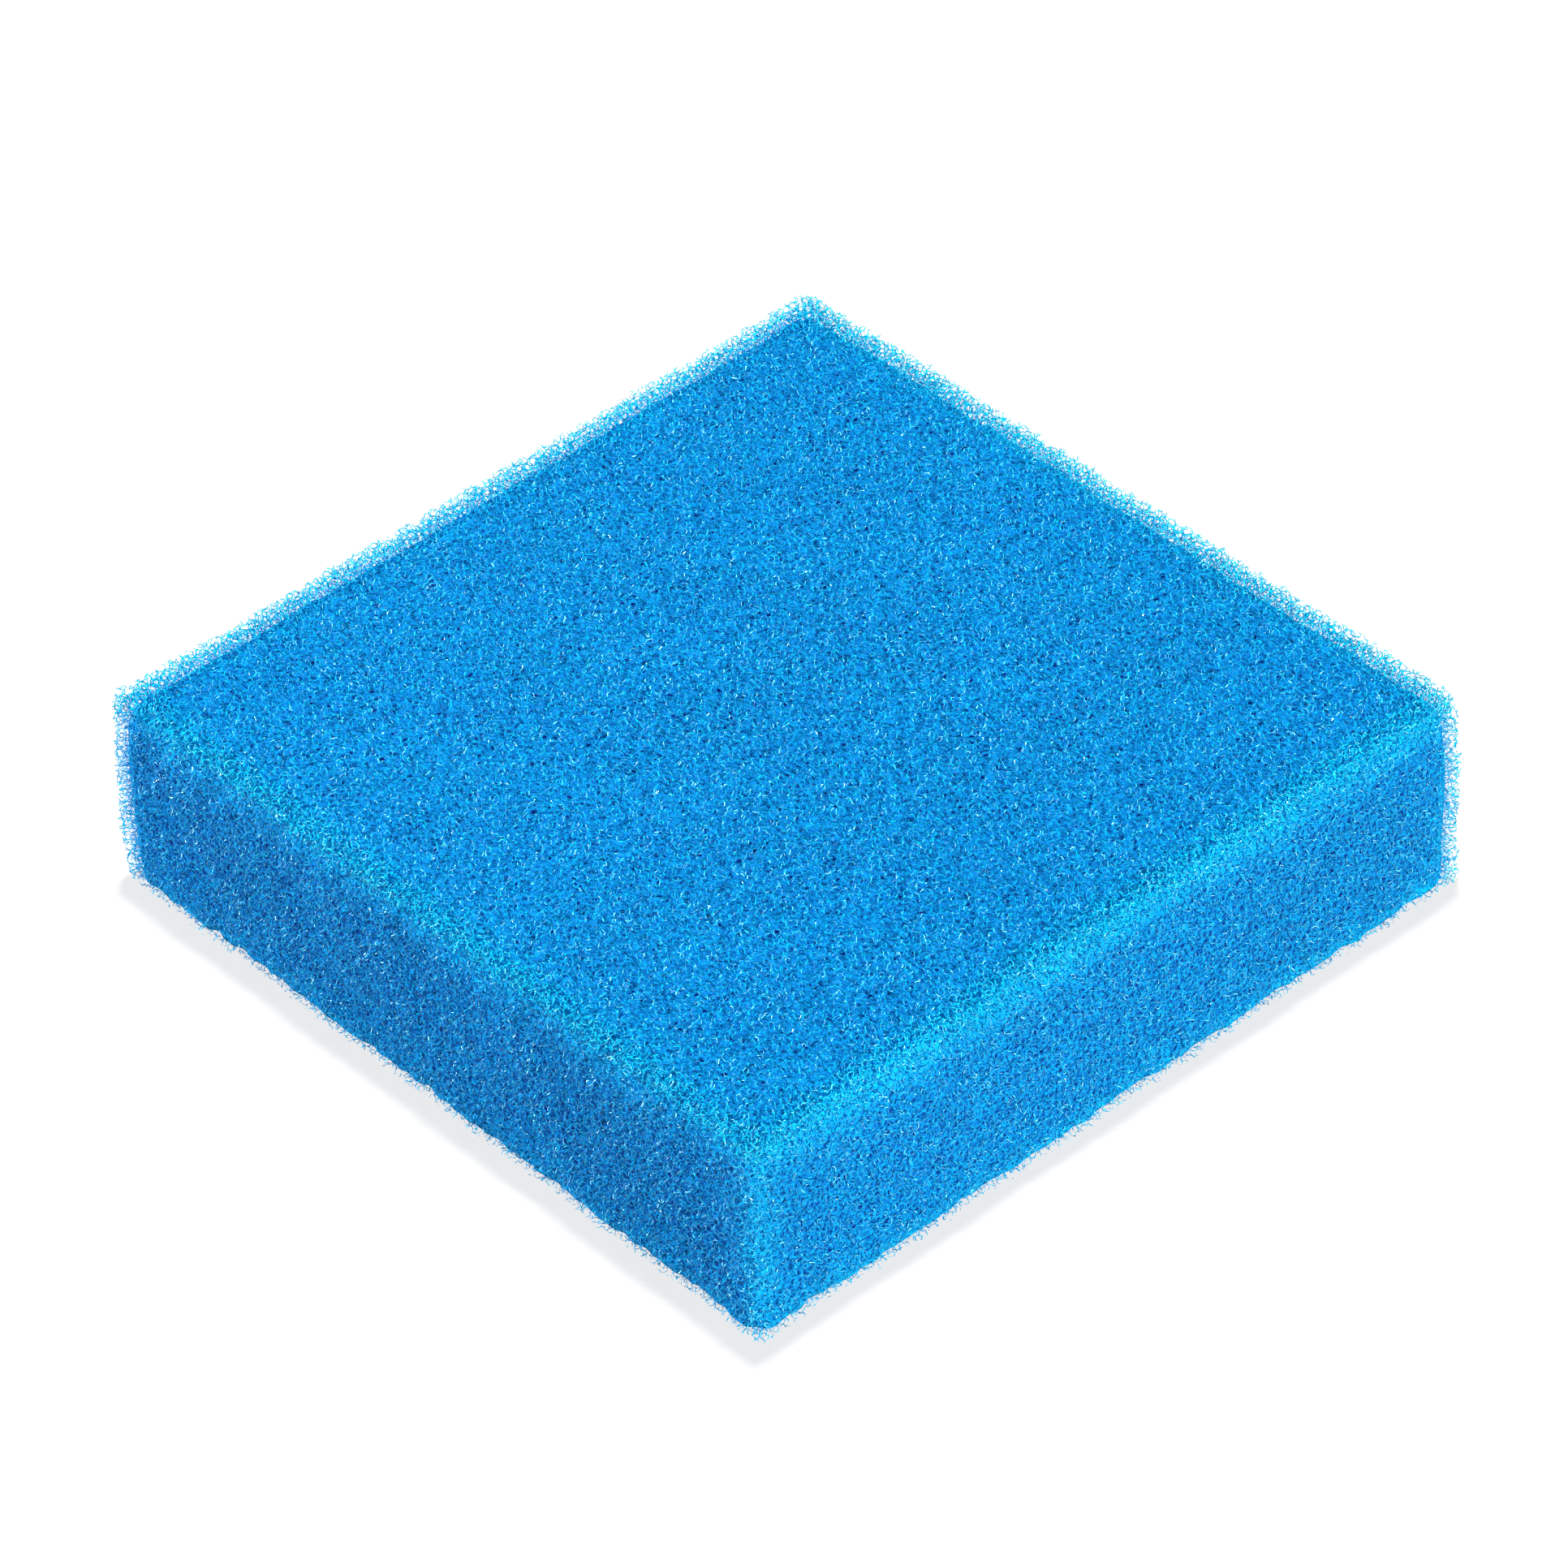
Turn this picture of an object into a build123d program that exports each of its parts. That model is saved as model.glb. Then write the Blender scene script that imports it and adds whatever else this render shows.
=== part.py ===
from build123d import *
import math
import os
import random

# A filter sponge: one square slab cut from a block of open-cell foam, millimetres.
# It lies flat, with the origin at the middle of its underside and +Z up.
# Each face is a net of flat struts round the open mouths of the cells that the cut went through.
# A cell on an edge has a mouth in both its faces, and one at a corner in all three.
# The cells are drawn about six times as large as the real foam's, to keep their number down.

# Slab
SIDE_X = 125.0
SIDE_Y = 125.0
THICKNESS = 32.0

# Open cells
CELL_PITCH = 6.8  # between the middles of neighbouring cells
WANDER = 0.30  # how far a cell inside a face strays from an even spacing, as a share of the pitch
EDGE_WANDER = 0.13  # and how far a cell on an edge strays along it
EDGE_ROW = 0.68  # how far the cells inside a face keep from its edges, as a share of the pitch
STRUT = 0.9  # width of the foam between two mouths
SHORTEST_SIDE = 0.31  # a mouth's shorter sides are closed up, as a share of the pitch
DEPTH_PER_RADIUS = 1.25  # how deep a cell goes for each millimetre of its mouths' radius
OFF_CENTRE = 0.18  # how far a cell's deepest point lies off its middle, as a share of its radius
SMALLEST_MOUTH = 0.15  # cells cut smaller than this share of a square pitch are left closed
NEXT_ON_FACE = 3.0  # a cell has no neighbour further off than this many pitches
SEED = 11
TOUCHING = 1e-6  # points nearer than this are the same, or lie on the same plane

dice = random.Random(SEED)


def stray(reach, upward=0.0):
    """A vector of up to reach each way in the XY plane, and up to upward along Z."""
    return Vector(dice.uniform(-reach, reach), dice.uniform(-reach, reach), dice.uniform(-upward, upward))


def slab():
    return Box(SIDE_X, SIDE_Y, THICKNESS, align=(Align.CENTER, Align.CENTER, Align.MIN))


def faces_of_slab():
    """Each face of the slab as a plane that looks outward, with its width and height."""
    middle = Vector(0, 0, THICKNESS / 2)
    reach = Vector(SIDE_X / 2, SIDE_Y / 2, THICKNESS / 2)
    for sign in (1, -1):
        yield Plane(middle + (0, 0, sign * reach.Z), x_dir=(1, 0, 0), z_dir=(0, 0, sign)), SIDE_X, SIDE_Y
        yield Plane(middle + (sign * reach.X, 0, 0), x_dir=(0, 1, 0), z_dir=(sign, 0, 0)), SIDE_Y, THICKNESS
        yield Plane(middle + (0, sign * reach.Y, 0), x_dir=(1, 0, 0), z_dir=(0, sign, 0)), SIDE_X, THICKNESS


def middles_on_edges(block):
    """The middles of the cells at the slab's corners and along its edges."""
    middles = [Vector(corner) for corner in block.vertices()]
    for edge in block.edges():
        count = round(edge.length / CELL_PITCH)
        for number in range(1, count):
            middles.append(edge.position_at((number + dice.uniform(-EDGE_WANDER, EDGE_WANDER)) / count))
    return middles


def middles_inside(width, height):
    """The middles of the cells inside a face, in staggered rows that wander."""
    width -= 2 * EDGE_ROW * CELL_PITCH
    height -= 2 * EDGE_ROW * CELL_PITCH
    rows = max(1, round(height / (CELL_PITCH * math.sin(math.radians(60)))))
    columns = max(1, round(width / CELL_PITCH))
    middles = []
    for row in range(rows):
        shift = 0.25 if row % 2 else -0.25
        for column in range(columns):
            x = ((column + 0.5 + shift) / columns - 0.5) * width
            y = ((row + 0.5) / rows - 0.5) * height
            middles.append(Vector(x, y) + stray(WANDER * CELL_PITCH))
    return middles


def cut_back(polygon, point, outward):
    """The part of a convex polygon that lies behind the line through point and square to outward."""
    kept = []
    for here, there in zip(polygon, polygon[1:] + polygon[:1]):
        ahead_here = (here - point).dot(outward)
        ahead_there = (there - point).dot(outward)
        if ahead_here <= 0:
            kept.append(here)
        if ahead_here * ahead_there < 0:
            kept.append(here + (there - here) * (ahead_here / (ahead_here - ahead_there)))
    return kept


def close_short_sides(polygon, held):
    """The polygon with each side that is too short to matter drawn together, without moving a held corner."""
    corners = list(polygon)
    while len(corners) > 3:
        lengths = [math.inf if held(corners[i]) and held(corners[i - 1]) else
                   (corners[i] - corners[i - 1]).length for i in range(len(corners))]
        i = lengths.index(min(lengths))
        if lengths[i] > SHORTEST_SIDE * CELL_PITCH:
            break
        if held(corners[i - 1]):
            corners[i] = corners[i - 1]
        elif not held(corners[i]):
            corners[i] = (corners[i] + corners[i - 1]) * 0.5
        del corners[i - 1]
    return corners


def mouth_round(middle, middles, width, height):
    """The open mouth of one cell in a flat face: it keeps half a strut from its neighbours' share."""
    half_x, half_y = width / 2, height / 2
    mouth = [Vector(x, y) for x, y in
             ((-half_x, -half_y), (half_x, -half_y), (half_x, half_y), (-half_x, half_y))]
    for other in middles:
        gap = other - middle
        if 0 < gap.length < NEXT_ON_FACE * CELL_PITCH:
            outward = gap.normalized()
            mouth = cut_back(mouth, middle + gap * 0.5 - outward * (STRUT / 2), outward)

    def on_edge(corner):
        return half_x - abs(corner.X) < TOUCHING or half_y - abs(corner.Y) < TOUCHING

    return close_short_sides(mouth, on_edge)


def open_cell(mouths, inward):
    """The hollow of one cell: it narrows from its mouths to a deepest point inside the slab."""
    corners = [corner for mouth in mouths for corner in mouth]
    middle = sum(corners, Vector()) * (1 / len(corners))
    radius = sum((corner - middle).length for corner in corners) / len(corners)
    off_centre = OFF_CENTRE * radius
    deepest = middle + inward * (DEPTH_PER_RADIUS * radius) + stray(off_centre, off_centre)
    sides = [(a, b) for mouth in mouths for a, b in zip(mouth, mouth[1:] + mouth[:1])]
    walls = []
    for a, b in sides:
        twins = [c for c, d in sides if ((a + b) - (c + d)).length < TOUCHING]
        if len(twins) == 1:
            walls.append(Face(Wire.make_polygon([a, b, deepest])))
    return Solid(Shell([Face(Wire.make_polygon(mouth)) for mouth in mouths] + walls))


def mouths_in_face(plane, width, height, on_edges):
    """Each mouth in a face, with its cell's number on the edges, or with None for a cell inside the face."""
    middles = middles_inside(width, height)
    numbers = [None] * len(middles)
    for number, middle in enumerate(on_edges):
        local = plane.to_local_coords(middle)
        if abs(local.Z) < TOUCHING:
            middles.append(Vector(local.X, local.Y))
            numbers.append(number)
    for number, middle in zip(numbers, middles):
        mouth = mouth_round(middle, middles, width, height)
        if number is not None or Face(Wire.make_polygon(mouth)).area > SMALLEST_MOUTH * CELL_PITCH**2:
            yield number, [plane.from_local_coords(corner) for corner in mouth]


def filter_sponge():
    block = slab()
    on_edges = middles_on_edges(block)
    opened = [[] for _ in on_edges]
    inward = [Vector() for _ in on_edges]
    cells = []
    for plane, width, height in faces_of_slab():
        for number, mouth in mouths_in_face(plane, width, height, on_edges):
            if number is None:
                cells.append(open_cell([mouth], -plane.z_dir))
            else:
                opened[number].append(mouth)
                inward[number] -= plane.z_dir
    for mouths, way in zip(opened, inward):
        cells.append(open_cell(mouths, way.normalized()))
    return block.cut(*cells)


os.makedirs("parts", exist_ok=True)
export_step(filter_sponge(), "parts/filter_sponge.step")
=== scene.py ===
"""Filter sponge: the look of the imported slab, in metres, in the CAD frame."""

import math
from itertools import product

import bmesh
import bpy
import numpy as np
from mathutils import Euler, Matrix, Vector
from mathutils.geometry import points_in_planes
from mathutils.kdtree import KDTree


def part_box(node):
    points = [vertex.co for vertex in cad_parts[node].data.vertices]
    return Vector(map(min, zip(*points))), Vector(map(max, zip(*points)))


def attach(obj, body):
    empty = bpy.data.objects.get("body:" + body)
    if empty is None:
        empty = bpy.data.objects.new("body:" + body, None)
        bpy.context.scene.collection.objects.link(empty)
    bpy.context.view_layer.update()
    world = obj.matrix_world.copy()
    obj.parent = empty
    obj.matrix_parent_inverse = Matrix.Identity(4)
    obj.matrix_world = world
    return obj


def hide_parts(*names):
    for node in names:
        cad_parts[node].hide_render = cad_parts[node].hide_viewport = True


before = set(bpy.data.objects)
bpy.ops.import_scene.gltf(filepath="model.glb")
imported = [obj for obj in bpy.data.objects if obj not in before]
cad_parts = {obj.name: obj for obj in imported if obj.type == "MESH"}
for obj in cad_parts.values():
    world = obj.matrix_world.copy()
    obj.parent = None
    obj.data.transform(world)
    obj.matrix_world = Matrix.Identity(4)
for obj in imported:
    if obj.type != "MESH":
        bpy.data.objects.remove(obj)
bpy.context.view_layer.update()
LOW, HIGH = (np.array(corner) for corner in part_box("filter_sponge"))
MIDDLE = (LOW + HIGH) / 2
HALF = (HIGH - LOW) / 2

# The foam's net
SEED = 5
CELL = 0.00098          # across one cell of the foam
STRAND = 0.000128       # across one strand
TILE = 16               # cells along the edge of the cube of foam that repeats
TURN = Euler((0.61, 0.37, 1.13))  # how that cube lies in the slab, so that no row of cells follows a face
NEAREST = 30            # seeds nearest to one, itself among them, that are tried for the walls of its cell
BEYOND = 2.5            # how far beyond the tile they may lie, in cells
EASED = 0.5             # how far each node is drawn to the middle of its neighbours
NET_PIECES = 6

# One flat strand: how it lies, and how it is shaded as if it were round
FACING = 0.45           # how freely it turns away from facing out of the foam
EDGE_TURN = 0.0015      # how near an edge the way out of the foam turns between the two faces
BASE_TURN = 0.3         # and how much the base counts in that
ROUNDNESS = math.radians(38)  # how far its shading turns from its middle to its edge
WIDTHS = (0.55, 1.45)   # thinnest and thickest strand, as shares of STRAND
SHADE_DEPTH = 0.0009    # painted shade: how deep below a face a strand is painted wholly in the shade of the others
OPEN_REACH = 0.0015     # how far beyond the net's depth a strand stands wholly in the open
CROSSED_FROM = 0.3      # a strand that stands this far in the open is two flat ones, crossed
UV_MARGIN = 0.2         # gap round each strand's square in the texture, as a share of the square

# The inner body that the net stands on
WEB = 0.00095           # depth of the open net on the flat of a face
BASE_WEB = 0.0001       # and on the base, which lies on something
TOP_ROUND = 0.0047      # how far the body draws back from the top edges
SIDE_ROUND = 0.0030     # and from the upright edges
BASE_ROUND = 0.0006     # and from the edges that it lies on
BODY_TORN = 0.0002      # how far the body draws in here and there along its base
TORN_HEIGHT = 0.0025    # up to this height
FOLLOWS_CUT = 1.2       # how closely it follows the ragged cut there
NEAR_SIDE = 0.008       # how far in from a side still counts as that side
CORNER_POINTS, SIDE_POINTS = 12, 120  # points of a ring round each corner and along each side
BASE_RINGS, MIDDLE_RINGS, TOP_RINGS = 4, 4, 12  # steps between rings at the base, up the side, at the top

# The cut faces are not quite flat, and their edges have worn
TORN = 0.00012          # how raggedly the faces are cut
TUFTS = (0.0018, 0.0042)  # shortest and longest tuft of the ragged cut
TUFT_LAYERS = 14        # rows of tufts that lie over each other
FRAY = 0.0012           # the outermost foam has lost some strands, down to this depth
LEFT_AT_FACE = 0.42     # share of the strands that are left right at a face
EDGE_WEAR = 0.0010      # how far round the foam has worn at its top edges
UPRIGHT_WEAR = 0.0017   # and at its upright edges
BARREL = 0.0005         # how far the sides swell at half height
SPREAD = 0.0003         # and how far the base is pressed out
STILL, MOVING = 0.7, 0.3  # shares of the way from the middle to a side that keep still, and that move
WAVES = ((0.028, 0.00014), (0.013, 0.00010), (0.0062, 0.00010))  # length and height of the waves in them

# Painted light: the foam is painted paler near its edges, where light comes through it
UPRIGHT_SHADE = 0.0021  # along the upright edges, as if that much further in
BASE_SHADE = 0.0030     # and along the base
NET_LIGHT = {"Start": 0.0012, "Reach": 0.0027}     # in the net
INSIDE_LIGHT = {"Start": 0.0031, "Reach": 0.0011}  # and in the foam below it

# Colours of the foam: its dye, with painted shade below the faces, in the pores and on the sides, and
# painted light near the edges and in the open
STRAND_BLUE = (0.0, 0.585, 0.87)
# painted shade: the colour of a strand deep below a face, in the shade of the others
SHADED_BLUE = (0.0, 0.275, 0.73)
# painted light: strands near the edges, where light comes through
LIT_THROUGH_BLUE = (0.0, 0.575, 0.97)
# painted light: strands that stand in the open, with light behind them
OPEN_LIT_BLUE = (0.0, 0.625, 0.94)
# painted shade on the body: the sides darker than the top, and the far layer and deep foam darker than the
# near layer
NEAR_BLUE = (0.0, 0.275, 0.69)
FAR_BLUE = (0.0, 0.17, 0.52)
DEEP_BLUE = (0.0, 0.105, 0.40)
# painted shade: the dark deep inside a pore
PORE_SHADE_BLUE = (0.0, 0.015, 0.18)
TOP_BLUE = (0.0, 0.28, 0.745)
TOP_DEEP_BLUE = (0.0, 0.205, 0.65)
# painted light: the body near the edges
EDGE_LIT_BLUE = (0.0, 0.49, 0.94)
DYE_PATCHES = {"Patch Size": 0.022, "Change": 0.08}
DYE_POWER = 2.5         # the higher, the fewer strands are bright
DYE_STRENGTH = (0.74, 1.4)  # tone of the darkest strand and of the brightest
STRAND_GLOSS = (0.15, 0.42)  # roughness of the glossiest strand and of the dullest
STRAND_IOR = 1.65
GLINT_TINT = (0.55, 1.0, 1.0)
THROUGH = 0.4           # share of the light that passes through a strand

# The net as it shows further down, in a near and a far layer: cells in metres, strands in cells
NEAR_NET = {"Cell": CELL * 1.05, "Strand": 0.13}
FAR_NET = {"Cell": CELL * 0.85, "Strand": 0.16}
FAR_SHIFT = (0.013, 0.007, 0.003)  # so that the two layers don't repeat each other
UNEVEN = 0.85           # how unevenly its cells lie
WOBBLE, WOBBLE_FINE = 0.5, 1.7  # how far its strands bend, in cells, and how many bends to a cell
STRAND_CORE = 0.35      # share of a strand's width that shows in full
MOUTH = (0.12, 0.30)    # how far from a strand a cell begins to deepen into painted shade, and is deepest, in cells
FAR_SHOWS = 0.6         # how strongly the far layer shows
FAR_RAISED = 0.4        # and how far it stands up, beside the near one
OPEN_CELL, SHUT_CELL = 0.35, 0.75  # a cell whose tone is below the first has a pore painted dark with painted shade, above the second none
LEVEL_FROM = 0.6        # how level a face must lie to have the colours of the top; the sides are painted darker, as painted shade
INSIDE_GLOSS = (0.9, 0.6)  # roughness between the strands, and on them
RELIEF = {"Strength": 0.8, "Distance": 0.0002}

# Lamps, in watts, with their places and colours
WORLD = 0.13            # strength of the even light all round
LAMP_SIZE = 0.2
BACK_LAMP = {"place": (-0.9, 1.9, 0.34), "energy": 90, "colour": (1, 1, 0.66)}
RIGHT_LAMP = {"place": (2.2, -0.1, 0.73), "energy": 106, "colour": (1, 1, 0.85)}
LEFT_LAMP = {"place": (-1.85, -1.3, 0.9), "energy": 110}
FLOOR_LAMP = {"place": (-0.17, 0.25, 2.7), "energy": 127}
FLOOR_LAMP_SIZE = 0.16
FLOOR_SIZE = 6
FLOOR_GREY = 0.13       # how much light the floor throws back
FLOOR_GLOW = 0.798      # and how brightly it glows where it is seen, which makes it white

# Camera: angles in degrees, lens in millimetres, the rest in sides of the slab
AZIMUTH, ELEVATION, ROLL = 49.02, 40.25, -2.48
LENS, SENSOR = 179.3, 36
DISTANCE, RAISED, TO_LEFT = 8.234, 0.0034, 0.002


# ---------------------------------------------------------------- the foam's net

def unit(vectors):
    return vectors / np.linalg.norm(vectors, axis=1, keepdims=True)


def copies_around(seeds, reach):
    """The tile's seeds and those of the tiles around, out to reach, with the number of each one's owner."""
    points, owners = [], []
    for shift in product((-TILE, 0, TILE), repeat=3):
        moved = seeds + shift
        near = np.all((moved > -reach) & (moved < TILE + reach), axis=1)
        points.append(moved[near])
        owners.append(np.flatnonzero(near))
    return np.concatenate(points), np.concatenate(owners)


def tree_of(points):
    tree = KDTree(len(points))
    for index, point in enumerate(points):
        tree.insert(point, index)
    tree.balance()
    return tree


def cell_corners(seed, tree):
    """The corners of the cell round a seed: where the planes halfway to its neighbours meet."""
    walls = []
    for point, _, _ in tree.find_n(seed, NEAREST)[1:]:
        outward = (point - seed).normalized()
        walls.append((*outward, -outward.dot((point + seed) / 2)))
    return np.array(points_in_planes([Vector(w) for w in walls], 1e-5, 1e-6)[0])


def cells_round(seeds):
    """Each seed's cell corners, with the tree of all seeds around and the owner of each seed in it."""
    points, owners = copies_around(seeds, BEYOND)
    tree = tree_of(points)
    return [cell_corners(Vector(seed), tree) for seed in seeds], tree, owners


def wrapped(offsets):
    """Offsets in a tile that repeats, taken the short way round."""
    return offsets - TILE * np.round(offsets / TILE)


def foam_tile():
    """Strands of a cube of foam that repeats: one end of each, and the way to its other end, in cells."""
    rng = np.random.default_rng(SEED)
    grid = np.stack(np.meshgrid(*[np.arange(TILE)] * 3), -1).reshape(-1, 3) + 0.5
    seeds = (grid + rng.uniform(-0.5, 0.5, grid.shape)) % TILE
    uneven, _, _ = cells_round(seeds)
    seeds = np.array([corners.mean(axis=0) for corners in uneven]) % TILE
    cells, tree, owners = cells_round(seeds)

    # Four cells meet at each node of the net
    nodes = np.concatenate(cells)
    around = np.array([[owners[i] for _, i, _ in tree.find_n(node, 4)] for node in nodes])
    _, first = np.unique(np.sort(around, axis=1), axis=0, return_index=True)
    nodes, around = nodes[first], np.sort(around[first], axis=1)

    # Two nodes that share three of their cells are the ends of one strand
    threes = np.concatenate([np.delete(around, left_out, axis=1) for left_out in range(4)])
    holders = np.tile(np.arange(len(nodes)), 4)
    order = np.lexsort(threes.T)
    threes, holders = threes[order], holders[order]
    paired = np.flatnonzero(np.all(threes[1:] == threes[:-1], axis=1))
    starts, ends = holders[paired], holders[paired + 1]

    # Each node is drawn to the middle of its neighbours, twice
    for _ in range(2):
        pull = np.zeros_like(nodes)
        way = wrapped(nodes[ends] - nodes[starts])
        np.add.at(pull, starts, way)
        np.add.at(pull, ends, -way)
        nodes = nodes + pull / 4 * EASED
    return nodes[starts], wrapped(nodes[ends] - nodes[starts])


def body_inset(z):
    """How far the inner body's outline lies inside the net's depth at height z."""
    below_top = HIGH[2] - WEB - z
    above_base = z - LOW[2] - BASE_WEB
    inset = np.zeros_like(z)
    for reach, distance in ((TOP_ROUND, below_top), (BASE_ROUND, above_base)):
        t = np.clip(1 - distance / reach, 0, 1)
        inset = np.maximum(inset, reach * (1 - np.sqrt(1 - t * t)))
    return inset


def past_rounded(offsets, half, radius):
    """How far offsets from its middle lie outside a rectangle with rounded corners: below 0 is inside."""
    q = np.abs(offsets) - (half - radius)
    return np.linalg.norm(np.maximum(q, 0), axis=1) + np.minimum(q.max(axis=1), 0) - radius


def depth_in_body(points):
    """How deep points lie inside the inner body: below 0 is outside it."""
    z = points[:, 2]
    plan = past_rounded(points[:, :2] - MIDDLE[:2], HALF[:2] - WEB - body_inset(z)[:, None], SIDE_ROUND)
    ends = np.maximum(z - (HIGH[2] - WEB), LOW[2] + BASE_WEB - z)
    return -np.maximum(plan, ends)


def ragged(points):
    """How much deeper or less deep the foam is torn at each point, in tufts of a few cells."""
    rng = np.random.default_rng(SEED + 3)
    torn = np.zeros(len(points))
    for length in rng.uniform(*TUFTS, TUFT_LAYERS):
        way = unit(rng.normal(size=(1, 3)))[0] * 2 * math.pi / length
        torn += np.sin(points @ way + rng.uniform(0, 2 * math.pi))
    return TORN * torn / math.sqrt(TUFT_LAYERS / 2)


def depth_in_slab(points):
    """How deep points lie below the slab's top and sides, whose edges have worn round."""
    offset = points - MIDDLE
    sides = past_rounded(offset[:, :2], HALF[:2], UPRIGHT_WEAR)
    q = np.stack([sides, offset[:, 2] - HALF[2]], axis=1) + EDGE_WEAR + ragged(points)[:, None]
    return EDGE_WEAR - np.linalg.norm(np.maximum(q, 0), axis=1) - np.minimum(q.max(axis=1), 0)


def clipped(starts, ways):
    """What is left of strands once they are cut off at the slab's faces."""
    enter, leave = np.zeros(len(starts)), np.ones(len(starts))
    with np.errstate(divide="ignore", invalid="ignore"):
        a, b = (LOW - starts) / ways, (HIGH - starts) / ways
    enter = np.maximum(enter, np.nanmax(np.minimum(a, b), axis=1))
    leave = np.minimum(leave, np.nanmin(np.maximum(a, b), axis=1))
    left = leave > enter
    return (starts + ways * enter[:, None])[left], (ways * (leave - enter)[:, None])[left]


def net_strands():
    """The strands of the net between the slab's faces and its inner body, in metres."""
    rng = np.random.default_rng(SEED + 2)
    tile_starts, tile_ways = foam_tile()
    turn = np.array(TURN.to_matrix())
    tile_starts, tile_ways = tile_starts @ turn.T * CELL, tile_ways @ turn.T * CELL
    step = TILE * CELL * turn.T
    reach = int(np.ceil(np.linalg.norm(HALF) / (TILE * CELL))) + 1
    radius = TILE * CELL * math.sqrt(3)
    starts, ways = [], []
    for shift in product(range(-reach, reach + 1), repeat=3):
        corner = MIDDLE + np.array(shift) @ step
        if np.any(corner + radius < LOW) or np.any(corner - radius > HIGH):
            continue
        moved, way = clipped(tile_starts + corner, tile_ways)
        middles = moved + way / 2
        depth = depth_in_slab(middles)
        kept = LEFT_AT_FACE + (1 - LEFT_AT_FACE) * depth / FRAY
        shown = (depth_in_body(middles) < 0) & (depth > 0) & (rng.uniform(size=len(depth)) < kept)
        starts.append(moved[shown])
        ways.append(way[shown])
    starts, ways = np.concatenate(starts), np.concatenate(ways)
    long_enough = np.linalg.norm(ways, axis=1) > STRAND
    return starts[long_enough], ways[long_enough]


def outward_at(points):
    """The way out of the foam at each point: square to the nearest face, and between two near an edge."""
    offset = points - MIDDLE
    weight = np.exp((np.abs(offset) - HALF) / EDGE_TURN)
    weight[:, 2] = np.where(offset[:, 2] < 0, BASE_TURN, 1) * weight[:, 2]
    return unit(np.sign(offset) * (weight + 1e-6))


def swollen(points):
    """Points moved sideways with the slab's sides, which swell and wave a little."""
    rng = np.random.default_rng(SEED + 1)
    offset = (points - MIDDLE) / HALF
    moved = points.copy()
    for axis in (0, 1):
        along = points[:, 1 - axis]
        for side in (-1, 1):
            shift = BARREL * (1 - offset[:, 2] ** 2) + SPREAD * (0.5 - 0.5 * offset[:, 2])
            for length, height in WAVES:
                phase, slant = rng.uniform(0, 2 * math.pi), rng.uniform(-1, 1)
                shift += height * np.sin(2 * math.pi * (along + slant * points[:, 2]) / length + phase)
            share = np.clip((side * offset[:, axis] - STILL) / MOVING, 0, 1)
            moved[:, axis] += side * share * shift
    return moved


def mesh_of(name, points, faces):
    """A smooth mesh object from arrays of corners and four-sided faces."""
    mesh = bpy.data.meshes.new(name)
    mesh.vertices.add(len(points))
    mesh.vertices.foreach_set("co", np.ascontiguousarray(points, np.float32).ravel())
    mesh.loops.add(faces.size)
    mesh.loops.foreach_set("vertex_index", faces.ravel().astype(np.int32))
    mesh.polygons.add(len(faces))
    mesh.polygons.foreach_set("loop_start", np.arange(0, faces.size, 4, dtype=np.int32))
    mesh.update(calc_edges=True)
    piece = bpy.data.objects.new(name, mesh)
    bpy.context.scene.collection.objects.link(piece)
    return piece


def write_on_corners(mesh, attribute, values, kind="FLOAT"):
    """Values for a mesh's corners, kept on it as a named attribute."""
    key = "vector" if kind == "FLOAT_VECTOR" else "value"
    mesh.attributes.new(attribute, kind, "POINT").data.foreach_set(key, values.astype(np.float32).ravel())


def one_square_each(count):
    """A square of the texture for each strand, as the places of its four corners."""
    columns = math.ceil(math.sqrt(count))
    spots = np.stack(np.divmod(np.arange(count), columns), axis=1)
    low, high = UV_MARGIN, 1 - UV_MARGIN
    square = np.array([(low, low), (high, low), (high, high), (low, high)])
    return (spots[:, None, :] + square) / columns


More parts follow.
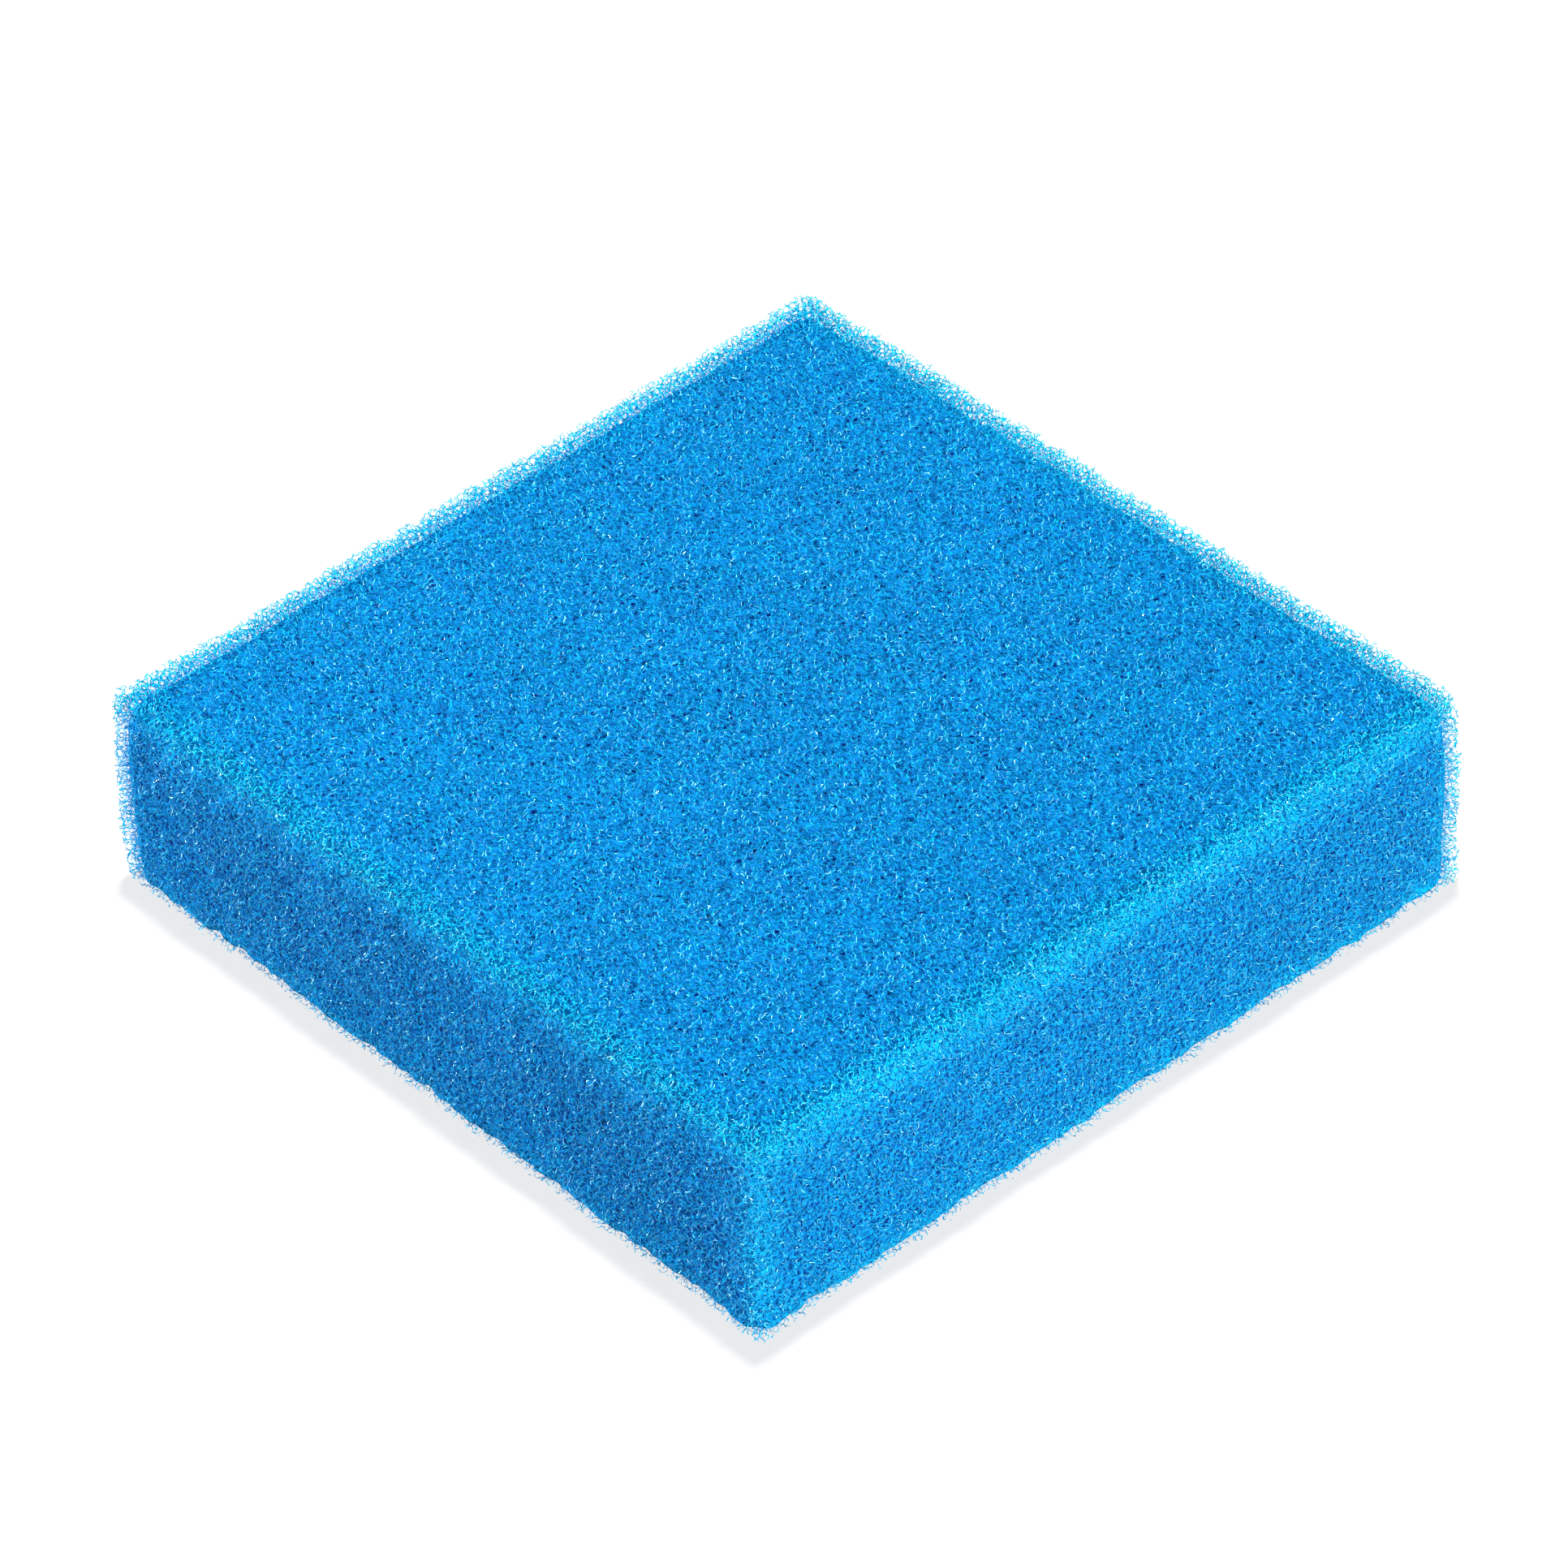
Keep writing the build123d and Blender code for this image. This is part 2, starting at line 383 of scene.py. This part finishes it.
def strand_mesh(name, starts, ways, seed):
    """Flat strands in one mesh, facing out of the foam more or less; in the open each is two, crossed."""
    rng = np.random.default_rng(seed)
    middles = starts + ways / 2
    # how far in the open a strand stands, which sets its crossing and its painted light
    open_air = np.clip((-depth_in_body(middles) - WEB) / OPEN_REACH, 0, 1)
    # how near a face a strand lies, which sets its painted shade
    shallow = 1 - np.clip(depth_in_slab(middles) / SHADE_DEPTH, 0, 1)
    along = unit(ways)
    facing = outward_at(middles) + FACING * rng.normal(size=along.shape)
    across = unit(np.cross(along, facing))
    dye = rng.uniform(size=(len(starts), 2))
    gloss = rng.uniform(size=len(starts))
    widths = STRAND * rng.uniform(*WIDTHS, (len(starts), 2))

    crossed = open_air > CROSSED_FROM
    second_across = np.cross(along, across)[crossed]
    starts, ways, along, dye, gloss, widths, open_air, shallow = (
        np.concatenate([values, values[crossed]])
        for values in (starts, ways, along, dye, gloss, widths, open_air, shallow))
    across = np.concatenate([across, second_across])

    front = np.cross(across, along)
    near, far = across * widths[:, :1] / 2, across * widths[:, 1:] / 2
    ends = starts + ways
    points = np.stack([starts - near, starts + near, ends + far, ends - far], axis=1)
    faces = np.arange(4 * len(starts)).reshape(-1, 4)
    piece = mesh_of(name, swollen(points.reshape(-1, 3)), faces)

    right = front * math.cos(ROUNDNESS) + across * math.sin(ROUNDNESS)
    left = front * math.cos(ROUNDNESS) - across * math.sin(ROUNDNESS)
    normals = np.stack([left, right, right, left], axis=1)
    write_on_corners(piece.data, "custom_normal", normals, "FLOAT_VECTOR")
    corners = one_square_each(len(starts)).astype(np.float32)
    piece.data.uv_layers.new(name="OFBake").uv.foreach_set("vector", corners.ravel())
    for attribute, values in (("open_air", open_air), ("shallow", shallow), ("gloss", gloss)):
        write_on_corners(piece.data, attribute, np.repeat(values, 4))
    write_on_corners(piece.data, "dye", dye[:, [0, 0, 1, 1]])
    return piece


# ---------------------------------------------------------------- the inner body

def body_ring(z):
    """One ring of the inner body, at height z, with a point every millimetre or so."""
    half = HALF[:2] - WEB - float(body_inset(np.array([z]))[0])
    straight = half - SIDE_ROUND
    points = []
    for quarter, (sx, sy) in enumerate(((1, 1), (-1, 1), (-1, -1), (1, -1))):
        for angle in np.linspace(0, math.pi / 2, CORNER_POINTS) + quarter * math.pi / 2:
            points.append((sx * straight[0] + SIDE_ROUND * math.cos(angle),
                           sy * straight[1] + SIDE_ROUND * math.sin(angle)))
        x, y = points[-1]
        end = (-x, y) if quarter % 2 == 0 else (x, -y)
        for share in np.linspace(0, 1, SIDE_POINTS)[1:-1]:
            points.append((x + (end[0] - x) * share, y + (end[1] - y) * share))
    return np.array([(MIDDLE[0] + x, MIDDLE[1] + y, z) for x, y in points])


def ring_heights():
    """Heights of the body's rings: close together where it rounds off, and along its torn base."""
    base, top = LOW[2] + BASE_WEB, HIGH[2] - WEB
    quarter = math.pi / 2
    heights = [base + BASE_ROUND * (1 - math.cos(quarter * i / BASE_RINGS)) for i in range(BASE_RINGS + 1)]
    heights += [LOW[2] + share * TORN_HEIGHT for share in (0.4, 0.6, 0.8, 1.0)]
    heights += list(np.linspace(LOW[2] + TORN_HEIGHT, top - TOP_ROUND, MIDDLE_RINGS + 1)[1:-1])
    heights += [top - TOP_ROUND * (1 - math.sin(quarter * i / TOP_RINGS)) for i in range(TOP_RINGS + 1)]
    return heights


def torn_base(rings):
    """The body's sides drawn in here and there towards the base, where the foam is torn."""
    points = rings.reshape(-1, 3)
    low = np.clip(1 - (points[:, 2] - LOW[2]) / TORN_HEIGHT, 0, 1) ** 2
    pull = BODY_TORN * low * np.clip(1 + FOLLOWS_CUT * ragged(points) / TORN, 0, None)
    offset = points - MIDDLE
    outward = unit(offset * (np.abs(offset) > HALF - NEAR_SIDE) * (1, 1, 0) + 1e-9)
    return (points - outward * pull[:, None]).reshape(rings.shape)


def inner_body():
    """The closed body: walls between its rings, and one face across each end."""
    rings = torn_base(np.array([body_ring(z) for z in ring_heights()]))
    levels, around = rings.shape[:2]
    index = np.arange(levels * around).reshape(levels, around)
    following = np.roll(index, -1, axis=1)
    walls = np.stack([index[:-1], following[:-1], following[1:], index[1:]], -1).reshape(-1, 4)
    body = mesh_of("inner_body", swollen(rings.reshape(-1, 3)), walls)
    work = bmesh.new()
    work.from_mesh(body.data)
    work.verts.ensure_lookup_table()
    work.faces.new([work.verts[i] for i in reversed(index[0])])
    work.faces.new([work.verts[i] for i in index[-1]])
    work.to_mesh(body.data)
    work.free()
    return body


# ---------------------------------------------------------------- shader nodes

def put(tree, socket, value):
    if isinstance(value, bpy.types.NodeSocket):
        tree.links.new(value, socket)
    else:
        socket.default_value = value


def add(tree, kind, settings=None, **values):
    """One node, with its settings and with values or links on its named sockets."""
    node = tree.nodes.new(kind)
    for key, value in (settings or {}).items():
        setattr(node, key, value)
    for key, value in values.items():
        sockets = [s for s in node.inputs if s.name.replace(" ", "") == key and s.enabled]
        put(tree, sockets[0], value)
    return node


def calc(tree, operation, *values):
    node = tree.nodes.new("ShaderNodeMath")
    node.operation = operation
    for socket, value in zip(node.inputs, values):
        put(tree, socket, value)
    return node.outputs[0]


def vector_calc(tree, operation, first, second):
    node = tree.nodes.new("ShaderNodeVectorMath")
    node.operation = operation
    put(tree, node.inputs[0], first)
    put(tree, node.inputs["Scale"] if operation == "SCALE" else node.inputs[1], second)
    return node.outputs[0]


def spread(tree, value, low, high, to_low=0.0, to_high=1.0, smooth=True):
    """A value mapped from low..high, held to its ends."""
    node = add(tree, "ShaderNodeMapRange", {"interpolation_type": "SMOOTHSTEP" if smooth else "LINEAR"},
               Value=value, FromMin=low, FromMax=high, ToMin=to_low, ToMax=to_high)
    return node.outputs["Result"]


def blend(tree, factor, first, second, way="MIX"):
    node = tree.nodes.new("ShaderNodeMix")
    node.data_type = "RGBA"
    node.blend_type = way
    put(tree, node.inputs["Factor"], factor)
    for socket, value in zip([s for s in node.inputs if s.type == "RGBA"], (first, second)):
        put(tree, socket, value if isinstance(value, bpy.types.NodeSocket) else (*value, 1))
    return [s for s in node.outputs if s.type == "RGBA"][0]


def toned(tree, colour, tone):
    """A colour made lighter or darker by a tone."""
    grey = add(tree, "ShaderNodeCombineColor", Red=tone, Green=tone, Blue=tone).outputs[0]
    return blend(tree, 1.0, colour, grey, "MULTIPLY")


def length_of(tree, first, second):
    squares = [calc(tree, "MULTIPLY", value, value) for value in (first, second)]
    return calc(tree, "SQRT", calc(tree, "ADD", *squares))


def written(tree, attribute):
    """What the mesh itself says at a point, under an attribute's name."""
    return add(tree, "ShaderNodeAttribute", {"attribute_name": attribute}).outputs["Fac"]


def place_on(tree, shift=(0, 0, 0)):
    """Where a point of the surface is, in metres, moved by a fixed shift."""
    return vector_calc(tree, "ADD", tree.nodes.new("ShaderNodeTexCoord").outputs["Object"], shift)


def group_of(name, numbers, outputs):
    """A shader node group that takes a place and some numbers, and the nodes for its sockets inside it."""
    tree = bpy.data.node_groups.new(name, "ShaderNodeTree")
    tree.interface.new_socket("Place", in_out="INPUT", socket_type="NodeSocketVector")
    for socket, value in numbers.items():
        number = tree.interface.new_socket(socket, in_out="INPUT", socket_type="NodeSocketFloat")
        number.default_value = value
    for socket in outputs:
        tree.interface.new_socket(socket, in_out="OUTPUT", socket_type="NodeSocketFloat")
    return tree, tree.nodes.new("NodeGroupInput").outputs, tree.nodes.new("NodeGroupOutput").inputs


def use(tree, group, place, numbers):
    """A node group placed in a material, with its values there."""
    node = tree.nodes.new("ShaderNodeGroup")
    node.node_tree = group
    put(tree, node.inputs["Place"], place)
    for key, value in numbers.items():
        node.inputs[key].default_value = value
    return node.outputs


# ---------------------------------------------------------------- effects

def dye_patches_group():
    """Where the dye took a little more or less: a tone that drifts slowly over the foam."""
    tree, given, out = group_of("dye_patches", {"Patch Size": 0.02, "Change": 0.1}, ["Tone"])
    scale = calc(tree, "DIVIDE", 1.0, given["Patch Size"])
    cloud = add(tree, "ShaderNodeTexNoise", Vector=given["Place"], Scale=scale, Detail=3.0)
    drift = calc(tree, "MULTIPLY", calc(tree, "SUBTRACT", cloud.outputs["Fac"], 0.5), given["Change"])
    put(tree, out["Tone"], calc(tree, "MULTIPLY_ADD", drift, 2.0, 1.0))
    return tree


def open_net_group():
    """A layer of the net as it shows further down: strands, and cells that open deeper or less deep, as a
    mask for painted shade.
    """
    numbers = {"Cell": 0.001, "Strand": 0.2}
    tree, given, out = group_of("open_net", numbers, ["Strands", "Depth", "Cell Tone"])
    scale = calc(tree, "DIVIDE", 1.0, given["Cell"])
    fine = calc(tree, "MULTIPLY", scale, WOBBLE_FINE)
    wobble = add(tree, "ShaderNodeTexNoise", Vector=given["Place"], Scale=fine, Detail=1.0)
    centred = vector_calc(tree, "SUBTRACT", wobble.outputs["Color"], (0.5, 0.5, 0.5))
    shift = vector_calc(tree, "SCALE", centred, calc(tree, "MULTIPLY", given["Cell"], WOBBLE))
    place = vector_calc(tree, "ADD", given["Place"], shift)
    edge, cell = (add(tree, "ShaderNodeTexVoronoi", {"feature": feature}, Vector=place, Scale=scale,
                      Randomness=UNEVEN).outputs[output]
                  for feature, output in (("DISTANCE_TO_EDGE", "Distance"), ("F1", "Color")))
    core = calc(tree, "MULTIPLY", given["Strand"], STRAND_CORE)
    put(tree, out["Strands"], spread(tree, edge, given["Strand"], core))
    put(tree, out["Depth"], spread(tree, edge, *MOUTH))
    put(tree, out["Cell Tone"], add(tree, "ShaderNodeSeparateColor", Color=cell).outputs["Red"])
    return tree


def edge_light_group():
    """A mask for painted light: how much light comes through the foam, which is thin near the slab's edges.
    """
    tree, given, out = group_of("edge_light", {"Start": 0.001, "Reach": 0.002}, ["Light"])
    offset = vector_calc(tree, "SUBTRACT", given["Place"], MIDDLE)
    axes = add(tree, "ShaderNodeSeparateXYZ", Vector=offset).outputs
    half = HALF.tolist()
    depth_x, depth_y = (calc(tree, "SUBTRACT", half[i], calc(tree, "ABSOLUTE", axes[i])) for i in (0, 1))
    inward = calc(tree, "MINIMUM", depth_x, depth_y)
    below_top = calc(tree, "SUBTRACT", half[2], axes[2])
    above_base = calc(tree, "ADD", half[2], axes[2])
    away = length_of(tree, inward, below_top)
    for first, second, shade in ((depth_x, depth_y, UPRIGHT_SHADE), (inward, above_base, BASE_SHADE)):
        away = calc(tree, "MINIMUM", away, calc(tree, "ADD", length_of(tree, first, second), shade))
    past = calc(tree, "MAXIMUM", calc(tree, "SUBTRACT", away, given["Start"]), 0.0)
    fall = calc(tree, "DIVIDE", past, calc(tree, "MULTIPLY", given["Reach"], -1.0))
    put(tree, out["Light"], calc(tree, "EXPONENT", fall))
    return tree


# ---------------------------------------------------------------- materials

def new_material(name):
    material = bpy.data.materials.new(name)
    material.use_nodes = True
    tree = material.node_tree
    return material, tree, tree.nodes["Principled BSDF"].inputs


def strands_material(dye_patches, edge_light):
    """The net: strands bright at a face, painted in shade below it, and paler with painted light where
    light comes through or round.
    """
    material, tree, shader = new_material("foam_strands")
    tone = use(tree, dye_patches, place_on(tree), DYE_PATCHES)["Tone"]
    light = use(tree, edge_light, place_on(tree), NET_LIGHT)["Light"]
    # painted shade: strands darken below the face
    colour = blend(tree, written(tree, "shallow"), SHADED_BLUE, STRAND_BLUE)
    # painted light near the edges
    colour = blend(tree, light, colour, LIT_THROUGH_BLUE)
    # painted light on strands in the open
    colour = blend(tree, written(tree, "open_air"), colour, OPEN_LIT_BLUE)
    dye = calc(tree, "POWER", written(tree, "dye"), DYE_POWER)
    strength = calc(tree, "MULTIPLY", tone, spread(tree, dye, 0, 1, *DYE_STRENGTH, smooth=False))
    shown = toned(tree, colour, strength)
    put(tree, shader["Base Color"], shown)
    put(tree, shader["Roughness"], spread(tree, written(tree, "gloss"), 0, 1, *STRAND_GLOSS, smooth=False))
    shader["Specular IOR Level"].default_value = 1.0
    shader["IOR"].default_value = STRAND_IOR
    shader["Specular Tint"].default_value = (*GLINT_TINT, 1)
    through = add(tree, "ShaderNodeBsdfTranslucent", Color=shown)
    both = tree.nodes.new("ShaderNodeMixShader")
    both.inputs["Fac"].default_value = THROUGH
    put(tree, both.inputs[1], tree.nodes["Principled BSDF"].outputs[0])
    put(tree, both.inputs[2], through.outputs[0])
    put(tree, tree.nodes["Material Output"].inputs["Surface"], both.outputs[0])
    return material


def inside_material(dye_patches, open_net, edge_light):
    """The body: a near and a far layer of the net over deep foam, with pores; painted shade darkens the far
    layer, the deep foam, the pores and the sides, and painted light lightens it near the edges.
    """
    material, tree, shader = new_material("foam_inside")
    tone = use(tree, dye_patches, place_on(tree), DYE_PATCHES)["Tone"]
    near = use(tree, open_net, place_on(tree), NEAR_NET)
    far = use(tree, open_net, place_on(tree, FAR_SHIFT), FAR_NET)
    facing = tree.nodes.new("ShaderNodeNewGeometry").outputs["True Normal"]
    up = add(tree, "ShaderNodeSeparateXYZ", Vector=facing).outputs["Z"]
    level = spread(tree, up, 0.0, LEVEL_FROM)
    # painted shade: the deep foam, darker on the sides
    colour = blend(tree, level, DEEP_BLUE, TOP_DEEP_BLUE)
    pore = calc(tree, "MULTIPLY", near["Depth"], spread(tree, near["Cell Tone"], SHUT_CELL, OPEN_CELL))
    # painted shade: dark pores
    colour = blend(tree, pore, colour, PORE_SHADE_BLUE)
    far_share = calc(tree, "MULTIPLY", far["Strands"], FAR_SHOWS)
    # painted shade: the far layer, darker on the sides
    colour = blend(tree, far_share, colour, blend(tree, level, FAR_BLUE, TOP_BLUE))
    colour = blend(tree, near["Strands"], colour, blend(tree, level, NEAR_BLUE, TOP_BLUE))
    light = use(tree, edge_light, place_on(tree), INSIDE_LIGHT)["Light"]
    # painted light near the edges
    colour = blend(tree, light, colour, EDGE_LIT_BLUE)
    put(tree, shader["Base Color"], toned(tree, colour, tone))
    put(tree, shader["Roughness"], spread(tree, near["Strands"], 0, 1, *INSIDE_GLOSS))
    shader["Specular IOR Level"].default_value = 0.1
    height = calc(tree, "ADD", near["Strands"], calc(tree, "MULTIPLY", far["Strands"], FAR_RAISED))
    bump = add(tree, "ShaderNodeBump", Height=height, **RELIEF)
    put(tree, shader["Normal"], bump.outputs["Normal"])
    return material


# ---------------------------------------------------------------- stage

def make_camera():
    """A long lens that looks down on a corner of the slab."""
    azimuth, elevation, roll = (math.radians(angle) for angle in (AZIMUTH, ELEVATION, ROLL))
    side = HIGH[1] - LOW[1]
    back = Vector((math.sin(azimuth) * math.cos(elevation), -math.cos(azimuth) * math.cos(elevation),
                   math.sin(elevation)))
    right = Vector((0, 0, 1)).cross(back).normalized()
    up = back.cross(right)
    right, up = (right * math.cos(roll) + up * math.sin(roll), up * math.cos(roll) - right * math.sin(roll))
    data = bpy.data.cameras.new("camera")
    data.lens = LENS
    data.sensor_width = SENSOR
    camera = bpy.data.objects.new("camera", data)
    place = Vector(MIDDLE) + back * DISTANCE * side + up * RAISED * side - right * TO_LEFT * side
    axes = Matrix((right, up, back)).transposed()
    camera.matrix_world = Matrix.Translation(place) @ axes.to_4x4()
    bpy.context.scene.collection.objects.link(camera)
    bpy.context.scene.camera = camera


def make_floor():
    """A floor that looks white and keeps the slab's shadow, in a collection of its own."""
    bpy.ops.mesh.primitive_plane_add(size=FLOOR_SIZE, location=(0, 0, LOW[2]))
    floor = bpy.context.object
    floor.name = "floor"
    material, tree, shader = new_material("floor")
    shader["Base Color"].default_value = (FLOOR_GREY, FLOOR_GREY, FLOOR_GREY, 1)
    shader["Roughness"].default_value = 0.9
    shader["Specular IOR Level"].default_value = 0
    shader["Emission Color"].default_value = (1, 1, 1, 1)
    ray = tree.nodes.new("ShaderNodeLightPath").outputs
    seen = calc(tree, "ADD", ray["Is Camera Ray"], ray["Is Glossy Ray"])
    seen = calc(tree, "ADD", seen, ray["Is Transmission Ray"])
    put(tree, shader["Emission Strength"], calc(tree, "MULTIPLY", seen, FLOOR_GLOW))
    floor.data.materials.append(material)
    ground = bpy.data.collections.new("floor")
    ground.objects.link(floor)
    return ground


def area_light(name, size, only, place, energy, colour=(1, 1, 1), mirrored=True):
    """A square lamp that points at the slab and lights only one collection."""
    data = bpy.data.lights.new(name, "AREA")
    data.size = size
    data.energy = energy
    data.color = colour
    lamp = bpy.data.objects.new(name, data)
    lamp.location = place
    lamp.rotation_euler = (Vector(MIDDLE) - Vector(place)).to_track_quat("-Z", "Y").to_euler()
    bpy.context.scene.collection.objects.link(lamp)
    lamp.light_linking.receiver_collection = only
    lamp.visible_glossy = mirrored


def make_light(slab, ground):
    """Three lamps on the slab, one on the floor, and a faint even light all round."""
    scene = bpy.context.scene
    world = bpy.data.worlds.new("studio")
    scene.world = world
    world.use_nodes = True
    background = world.node_tree.nodes["Background"].inputs
    background["Color"].default_value = (1, 1, 1, 1)
    background["Strength"].default_value = WORLD
    area_light("back", LAMP_SIZE, slab, **BACK_LAMP, mirrored=False)
    area_light("right", LAMP_SIZE, slab, **RIGHT_LAMP)
    area_light("left", LAMP_SIZE, slab, **LEFT_LAMP)
    area_light("floor_lamp", FLOOR_LAMP_SIZE, ground, **FLOOR_LAMP)
    scene.view_settings.view_transform = "Standard"


# ---------------------------------------------------------------- the slab, piece by piece

def make_body(slab, material):
    """The inner body, which stands for the whole solid."""
    body = inner_body()
    body.data.materials.append(material)
    slab.objects.link(body)
    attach(body, "root")
    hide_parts("filter_sponge")


def make_nets(slab, material):
    """The net round the body, in pieces like the slices of a cake."""
    starts, ways = net_strands()
    order = np.argsort(np.arctan2(starts[:, 1] - MIDDLE[1], starts[:, 0] - MIDDLE[0]))
    for number, part in enumerate(np.array_split(order, NET_PIECES)):
        net = strand_mesh(f"net_{number + 1}", starts[part], ways[part], number)
        net.data.materials.append(material)
        slab.objects.link(net)
        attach(net, "root")


dye_patches, open_net, edge_light = dye_patches_group(), open_net_group(), edge_light_group()
net_material = strands_material(dye_patches, edge_light)
body_material = inside_material(dye_patches, open_net, edge_light)
slab = bpy.data.collections.new("slab")
make_body(slab, body_material)
make_nets(slab, net_material)
ground = make_floor()
make_light(slab, ground)
make_camera()
